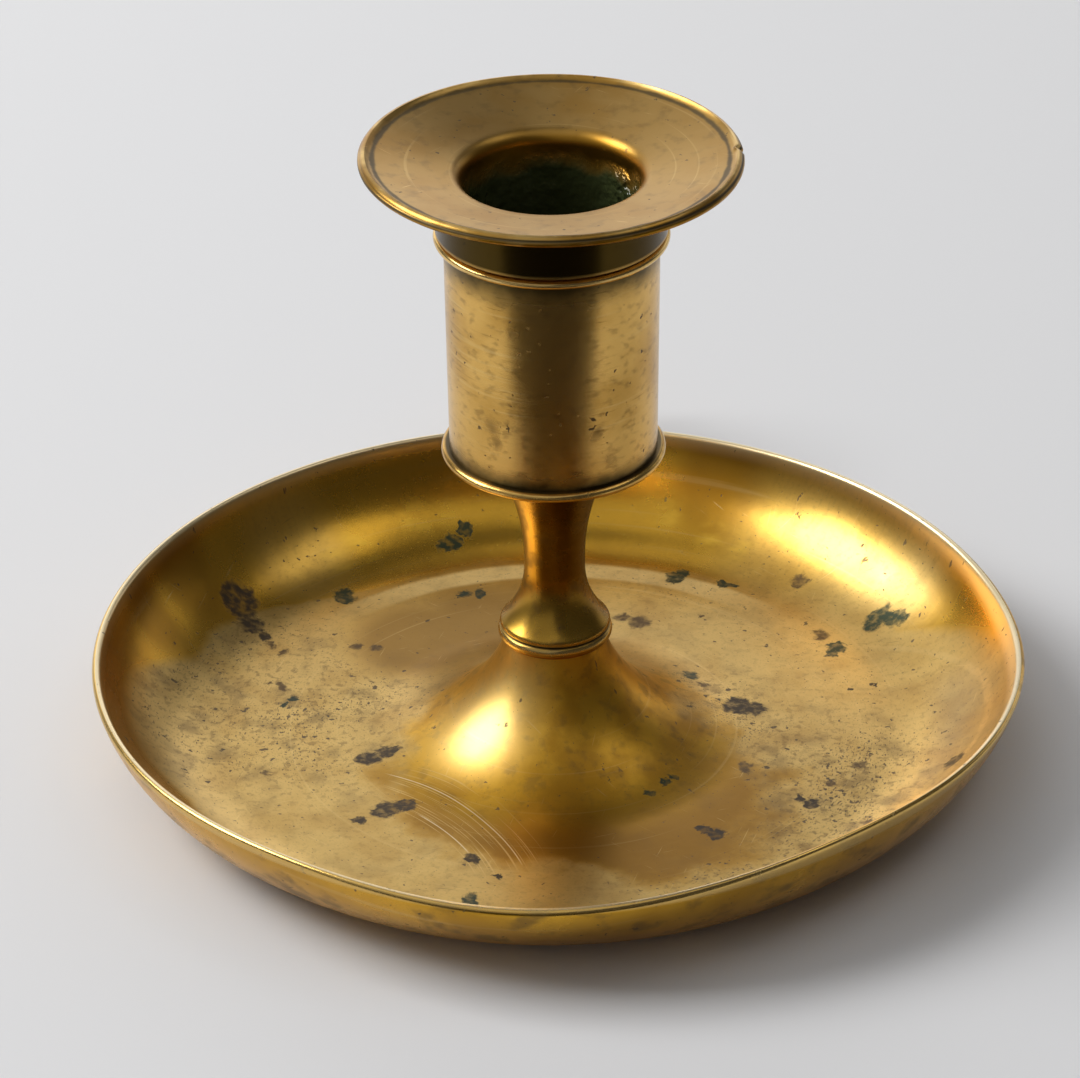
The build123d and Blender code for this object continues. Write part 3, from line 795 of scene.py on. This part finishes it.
def loop_brass():
    """Cast brass of the finger loop, with patchy film, tarnish specks and a fine bumpy surface."""
    brass = Brass("loop_brass", "gold", 0.26)
    clouds = brass.cloud(120, 5)
    brass.cover(clouds.fade(0.36, 0.72) * 0.5, "film", 0.36)
    brass.cover(brass.specks(800, clouds, 0.05) * 0.7, "tarnish", 0.5, 0.6)
    brass.height = brass.cloud(500, 4) * (0.025 * MM)
    return brass.finish()


def fixing_brass():
    """Brown, unpolished brass of the washer, nut and rivets."""
    brass = Brass("fixing_brass", "amber", 0.36)
    clouds = brass.cloud(300, 5)
    brass.cover(clouds.fade(0.45, 0.75) * 0.7, "umber", 0.5, 0.7)
    brass.height = brass.cloud(700, 4) * (0.02 * MM)
    return brass.finish()


def turn_between(first, second):
    """The shorter way round from one angle to another."""
    return (second - first + pi) % (2 * pi) - pi


def dent_rim(mesh, sizes):
    """Push the pan's wall out and down, or in and up, at each knock, most of all at the lip."""
    floor_radius = sizes.rim_radius - sizes.wall_run
    chord = hypot(sizes.wall_run, sizes.rim_height)
    for vert in mesh.verts:
        out = Vector((vert.co.x, vert.co.y, 0))
        share = min(max((out.length - floor_radius) / sizes.wall_run, 0), 1)
        clock = atan2(out.y, out.x)
        lean = 0
        for place, spread, amount in RIM_KNOCKS:
            apart = degrees(turn_between(radians(place), clock))
            lean += amount * exp(-((apart / spread) ** 2))
        shift = lean / chord * share**2
        vert.co += shift * sizes.rim_height * out.normalized()
        vert.co.z *= 1 - shift * sizes.wall_run / sizes.rim_height


def make_pan():
    """The dished pan: boss, floor, wall and rounded lip, with the rim's knocks."""
    sizes = settings().pan
    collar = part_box("stem_collar")
    seat = collar[1].x - (collar[1].z - collar[0].z) / 2
    sheet = sizes.sheet
    floor_radius = sizes.rim_radius - sizes.wall_run
    wall_arc = (sizes.wall_run**2 + sizes.rim_height**2) / (2 * sizes.rim_height)
    lip_angle = atan2(sizes.wall_run, wall_arc - sizes.rim_height) - sheet / 2 / wall_arc
    lip_out = Vector((sin(lip_angle), -cos(lip_angle)))
    wall_centre = Vector((floor_radius, wall_arc))
    lip_inner = wall_centre + (wall_arc - sheet) * lip_out
    lip_outer = wall_centre + wall_arc * lip_out
    under_height = sizes.boss_height - sheet
    flare_arc = ((sizes.boss_foot - seat) ** 2 + under_height**2) / (2 * under_height)
    under_arc = flare_arc + sheet
    under_radius = sizes.boss_foot - sqrt(under_arc**2 - (under_arc - under_height) ** 2)
    section = Section(sizes.hole, sizes.boss_height)
    section.line(seat, sizes.boss_height, 3)
    section.bow(sizes.boss_foot, sheet, arrive=0, parts=40)
    section.line(floor_radius, sheet, 12)
    section.bow(*lip_inner, leave=0, parts=36)
    section.bow(*lip_outer, leave=degrees(lip_angle), parts=8)
    section.bow(floor_radius, 0, arrive=180, parts=36)
    section.line(sizes.boss_foot, 0, 6)
    section.bow(under_radius, under_height, leave=180, parts=20)
    section.line(sizes.hole, under_height, 3)
    section.line(sizes.hole, sizes.boss_height)
    mesh = section.turn(320)
    middle_arc = wall_arc - sheet / 2
    for face in mesh.faces:
        centre = face.calc_center_median()
        out = hypot(centre.x, centre.y)
        up_wall = min(max(out - floor_radius, 0), middle_arc)
        middle = wall_arc - sqrt(middle_arc**2 - up_wall**2)
        underside = centre.z < middle or (out < sizes.boss_foot and face.normal.z < 0)
        face.material_index = 1 if underside else 0
    dent_rim(mesh, sizes)
    add_piece(mesh, "brass_pan", "stick", "pan", [pan_inside(), pan_outside()])


def make_collar(material):
    """The round-edged ring under the stem's bell."""
    low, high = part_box("stem_collar")
    hole = settings().pan.hole
    inner = high.x - (high.z - low.z) / 2
    section = Section(hole, low.z)
    section.line(inner, low.z, 2)
    section.bow(inner, high.z, leave=0, parts=20)
    section.line(hole, high.z, 2)
    section.line(hole, low.z)
    add_piece(section.turn(160), "brass_stem_collar", "stick", "stem_collar", [material])


def make_stem(material):
    """The waisted spool with its tenons."""
    sizes = settings().stem
    foot = top("stem_collar")
    seat = bottom("candle_socket")
    floor_top = seat + settings().socket.floor
    bell = reach("stem_collar") - sizes.bell_inset
    swing = sizes.shoulder_arc + sizes.cove_arc
    spread = bell - sizes.waist
    shoulder = foot + sizes.bell_chamfer + sizes.bell_land
    waist_height = shoulder + sqrt(2 * swing * spread - spread**2)
    share = sizes.shoulder_arc / swing
    shoulder_centre = bell - sizes.shoulder_arc
    turn_radius = shoulder_centre + share * (sizes.waist + sizes.cove_arc - shoulder_centre)
    turn_height = shoulder + share * (waist_height - shoulder)
    section = Section(0, bottom("stem"))
    section.line(sizes.lower_tenon, bottom("stem"))
    section.line(sizes.lower_tenon, foot)
    section.line(bell - sizes.bell_chamfer, foot)
    section.line(bell, foot + sizes.bell_chamfer)
    section.line(bell, shoulder, 2)
    section.bow(turn_radius, turn_height, leave=90, parts=14)
    section.bow(sizes.waist, waist_height, arrive=90, parts=30)
    section.line(sizes.waist, waist_height + sizes.waist_length, 3)
    section.bow(sizes.head, seat, leave=90, parts=30)
    section.line(sizes.upper_tenon, seat)
    section.line(sizes.upper_tenon, floor_top)
    section.line(sizes.peened_head, floor_top)
    section.bow(0, top("stem"), arrive=180, parts=10)
    add_piece(section.turn(160), "brass_stem", "stick", "stem", [material])


def make_socket():
    """The candle socket with its foot and lip beads."""
    sizes = settings().socket
    low, high = bottom("candle_socket"), top("candle_socket")
    top_radius = sizes.bore + sizes.wall
    foot_radius = top_radius - sizes.taper
    foot_edge = foot_radius + sizes.foot_reach - sizes.foot_height / 2
    lip_edge = reach("candle_socket") - sizes.lip_height / 2
    section = Section(foot_edge, low)
    section.bow(foot_edge, low + sizes.foot_height, leave=0, parts=14)
    section.line(foot_radius, low + sizes.foot_height)
    section.line(top_radius, high - sizes.lip_height, 40)
    section.line(lip_edge, high - sizes.lip_height)
    section.bow(lip_edge, high, leave=0, parts=14)
    section.line(sizes.bore, high)
    section.line(sizes.bore, low + sizes.floor, 8)
    section.line(sizes.hole, low + sizes.floor, 3)
    section.line(sizes.hole, low)
    section.line(foot_edge, low, 3)
    add_piece(
        section.turn(240), "brass_candle_socket", "stick", "candle_socket", [socket_brass()]
    )


def wear_flange(mesh, sizes):
    """Bend the nozzle's flange up at one side and knock a small notch out of its rim."""
    rim = reach("nozzle")
    for vert in mesh.verts:
        out = Vector((vert.co.x, vert.co.y, 0))
        clock = atan2(out.y, out.x)
        bend = exp(-((turn_between(sizes.bend_clock, clock) / sizes.bend_spread) ** 2))
        outward = max(out.length - sizes.collar, 0) / (rim - sizes.collar)
        vert.co.z += sizes.bend_rise * bend * outward
        apart = turn_between(sizes.chip_clock, clock)
        along = abs(apart) * rim / (sizes.chip_width / 2)
        near_edge = (out.length - rim + 2 * sizes.chip_depth) / (2 * sizes.chip_depth)
        if along < 1 and near_edge > 0:
            vert.co -= out.normalized() * sizes.chip_depth * (1 - along) * near_edge


def make_nozzle():
    """The lift-off nozzle: spigot, collar, dished flange and grooved edge."""
    sizes = settings().nozzle
    seat = bottom("nozzle") + sizes.spigot_length
    slope = tan(sizes.flange_slope)
    rim = reach("nozzle")
    under = seat + sizes.collar_height
    mouth = under + sizes.flange_thick - slope * (sizes.collar - sizes.bore)
    edge_foot = rim - sizes.edge_width
    edge_foot_height = mouth + slope * (edge_foot - sizes.bore)
    crest = edge_foot_height + sizes.edge_rise
    groove = crest - sizes.edge_lip
    bead_edge = rim - sizes.edge_bead / 2
    cut = sizes.mouth_round * tan((pi / 2 - sizes.flange_slope) / 2)
    section = Section(sizes.bore, bottom("nozzle"))
    section.line(sizes.bore, mouth - cut, 20)
    section.bow(
        sizes.bore + cut * cos(sizes.flange_slope), mouth + cut * sin(sizes.flange_slope), leave=90, parts=10
    )
    section.line(edge_foot, edge_foot_height, 14)
    section.bow(rim - sizes.edge_width / 2, crest, leave=degrees(sizes.flange_slope), parts=6)
    section.bow(rim - sizes.edge_groove, groove, leave=0, parts=6)
    section.line(bead_edge, groove)
    section.bow(bead_edge, groove - sizes.edge_bead, leave=0, parts=12)
    section.line(sizes.collar, under, 8)
    section.line(sizes.collar, seat + sizes.collar_chamfer, 8)
    section.line(sizes.collar - sizes.collar_chamfer, seat)
    section.line(sizes.spigot, seat)
    section.line(sizes.spigot, bottom("nozzle"), 6)
    section.line(sizes.bore, bottom("nozzle"))
    mesh = section.turn(400)
    wear_flange(mesh, sizes)
    add_piece(mesh, "brass_nozzle", "nozzle", "nozzle", [nozzle_brass()])


def repaint(node, material):
    """Give a node of the solid model a better finish."""
    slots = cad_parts[node].data.materials
    slots.clear()
    slots.append(material)


def add_sheet(name, tint, mesh):
    """Make a plain flat mesh a piece of the stage."""
    material = bpy.data.materials.new(name)
    material.use_nodes = True
    shader = material.node_tree.nodes["Principled BSDF"]
    shader.inputs["Base Color"].default_value = (*tint, 1)
    shader.inputs["Roughness"].default_value = SHEET_ROUGHNESS
    data = bpy.data.meshes.new(name)
    mesh.to_mesh(data)
    mesh.free()
    data.materials.append(material)
    sheet = bpy.data.objects.new(name, data)
    bpy.context.scene.collection.objects.link(sheet)
    return sheet


def add_floor(tint):
    """The wide plain floor, just under the object."""
    mesh = bmesh.new()
    bmesh.ops.create_grid(mesh, x_segments=1, y_segments=1, size=FLOOR_HALF_WIDTH)
    bmesh.ops.translate(mesh, vec=(0, 0, -FLOOR_DROP), verts=mesh.verts)
    add_sheet("floor", tint, mesh)


def add_card(tint, radius, distance):
    """A dark round card on the floor in front, which only the metal sees."""
    mesh = bmesh.new()
    bmesh.ops.create_circle(mesh, cap_ends=True, segments=64, radius=radius)
    bmesh.ops.translate(mesh, vec=(0, -distance, CARD_LIFT), verts=mesh.verts)
    card = add_sheet("card", tint, mesh)
    card.visible_camera = False
    card.visible_diffuse = False
    card.visible_shadow = False


def make_lamp(name, clock, elevation, distance, width, height, brightness):
    """A soft rectangular panel that faces the object."""
    light = bpy.data.lights.new(name, "AREA")
    light.shape = "RECTANGLE"
    light.size = width
    light.size_y = height
    light.energy = brightness * pi * width * height
    lamp = bpy.data.objects.new(name, light)
    swing = Matrix.Rotation(radians(clock), 3, "Z")
    tilt = Matrix.Rotation(radians(-elevation), 3, "Y")
    aim = swing @ tilt @ Vector((1, 0, 0))
    lamp.rotation_euler = aim.to_track_quat("Z", "Y").to_euler()
    lamp.location = aim * distance
    lamp.visible_camera = False
    bpy.context.scene.collection.objects.link(lamp)


def make_world(strength):
    """Even grey light all round."""
    world = bpy.data.worlds.new("studio")
    world.use_nodes = True
    back = world.node_tree.nodes["Background"]
    back.inputs["Color"].default_value = (1, 1, 1, 1)
    back.inputs["Strength"].default_value = strength
    bpy.context.scene.world = world


def make_camera(stage):
    """The camera at the photograph's viewing angle."""
    data = bpy.data.cameras.new("camera")
    data.lens = stage.lens / MM
    data.sensor_width = SENSOR_WIDTH
    camera = bpy.data.objects.new("camera", data)
    camera.matrix_world = (
        Matrix.Translation(stage.camera_place)
        @ Matrix.Rotation(stage.camera_yaw, 4, "Z")
        @ Matrix.Rotation(pi / 2 - stage.camera_pitch, 4, "X")
        @ Matrix.Rotation(stage.camera_roll, 4, "Z")
    )
    bpy.context.scene.collection.objects.link(camera)
    bpy.context.scene.camera = camera


class Step:
    """What every step does: make its pieces and say that it is done."""

    def execute(self, context):
        self.make()
        return {"FINISHED"}


class CHAMBERSTICK_OT_pan(Step, Operator):
    """Build the dished pan"""

    bl_idname = "chamberstick.pan"
    bl_label = "Pan"

    def make(self):
        make_pan()


class CHAMBERSTICK_OT_stem(Step, Operator):
    """Build the stem and its collar"""

    bl_idname = "chamberstick.stem"
    bl_label = "Stem and collar"

    def make(self):
        material = stem_brass()
        make_collar(material)
        make_stem(material)


class CHAMBERSTICK_OT_socket(Step, Operator):
    """Build the candle socket"""

    bl_idname = "chamberstick.socket"
    bl_label = "Candle socket"

    def make(self):
        make_socket()


class CHAMBERSTICK_OT_nozzle(Step, Operator):
    """Build the lift-off nozzle"""

    bl_idname = "chamberstick.nozzle"
    bl_label = "Nozzle"

    def make(self):
        make_nozzle()


class CHAMBERSTICK_OT_loop(Step, Operator):
    """Finish the finger loop"""

    bl_idname = "chamberstick.loop"
    bl_label = "Finger loop"

    def make(self):
        repaint("finger_loop", loop_brass())


class CHAMBERSTICK_OT_fixings(Step, Operator):
    """Finish the washer, the nut and the rivets"""

    bl_idname = "chamberstick.fixings"
    bl_label = "Washer, nut and rivets"

    def make(self):
        material = fixing_brass()
        for node in ("base_washer", "base_nut", "loop_rivets"):
            repaint(node, material)


class CHAMBERSTICK_OT_stage(Step, Operator):
    """Set up the floor, card, lights and camera"""

    bl_idname = "chamberstick.stage"
    bl_label = "Stage"

    def make(self):
        stage = settings().stage
        add_floor(stage.floor)
        add_card(stage.card, stage.card_radius, stage.card_distance)
        for name, *place in LAMPS:
            make_lamp(name, *place, getattr(stage, name))
        make_world(stage.ambient)
        make_camera(stage)
        bpy.context.scene.view_settings.view_transform = "Standard"


OPERATORS = (
    CHAMBERSTICK_OT_pan,
    CHAMBERSTICK_OT_stem,
    CHAMBERSTICK_OT_socket,
    CHAMBERSTICK_OT_nozzle,
    CHAMBERSTICK_OT_loop,
    CHAMBERSTICK_OT_fixings,
    CHAMBERSTICK_OT_stage,
)


class CHAMBERSTICK_PT_panel(Panel):
    """Lists the chamberstick's steps and settings"""

    bl_idname = "CHAMBERSTICK_PT_panel"
    bl_label = "Chamberstick"
    bl_space_type = "VIEW_3D"
    bl_region_type = "UI"
    bl_category = "Chamberstick"

    def draw(self, context):
        for operator in OPERATORS:
            self.layout.operator(operator.bl_idname)
        for group_name in ChamberstickSettings.__annotations__:
            group = getattr(context.scene.chamberstick, group_name)
            box = self.layout.box()
            box.label(text=group_name.capitalize())
            for setting in group.__annotations__:
                box.prop(group, setting, text=setting.replace("_", " ").capitalize())


CLASSES = (
    BrassColours,
    PanSizes,
    StemSizes,
    SocketSizes,
    NozzleSizes,
    StageSettings,
    ChamberstickSettings,
    *OPERATORS,
    CHAMBERSTICK_PT_panel,
)


def register():
    """Add the classes and the scene's settings."""
    for each in CLASSES:
        bpy.utils.register_class(each)
    bpy.types.Scene.chamberstick = PointerProperty(type=ChamberstickSettings)


def unregister():
    """Take the settings and the classes away again."""
    del bpy.types.Scene.chamberstick
    for each in reversed(CLASSES):
        bpy.utils.unregister_class(each)


def main():
    """Build every piece and the stage."""
    register()
    bpy.ops.chamberstick.pan()
    bpy.ops.chamberstick.stem()
    bpy.ops.chamberstick.socket()
    bpy.ops.chamberstick.nozzle()
    bpy.ops.chamberstick.loop()
    bpy.ops.chamberstick.fixings()
    bpy.ops.chamberstick.stage()


if __name__ == "__main__":
    main()
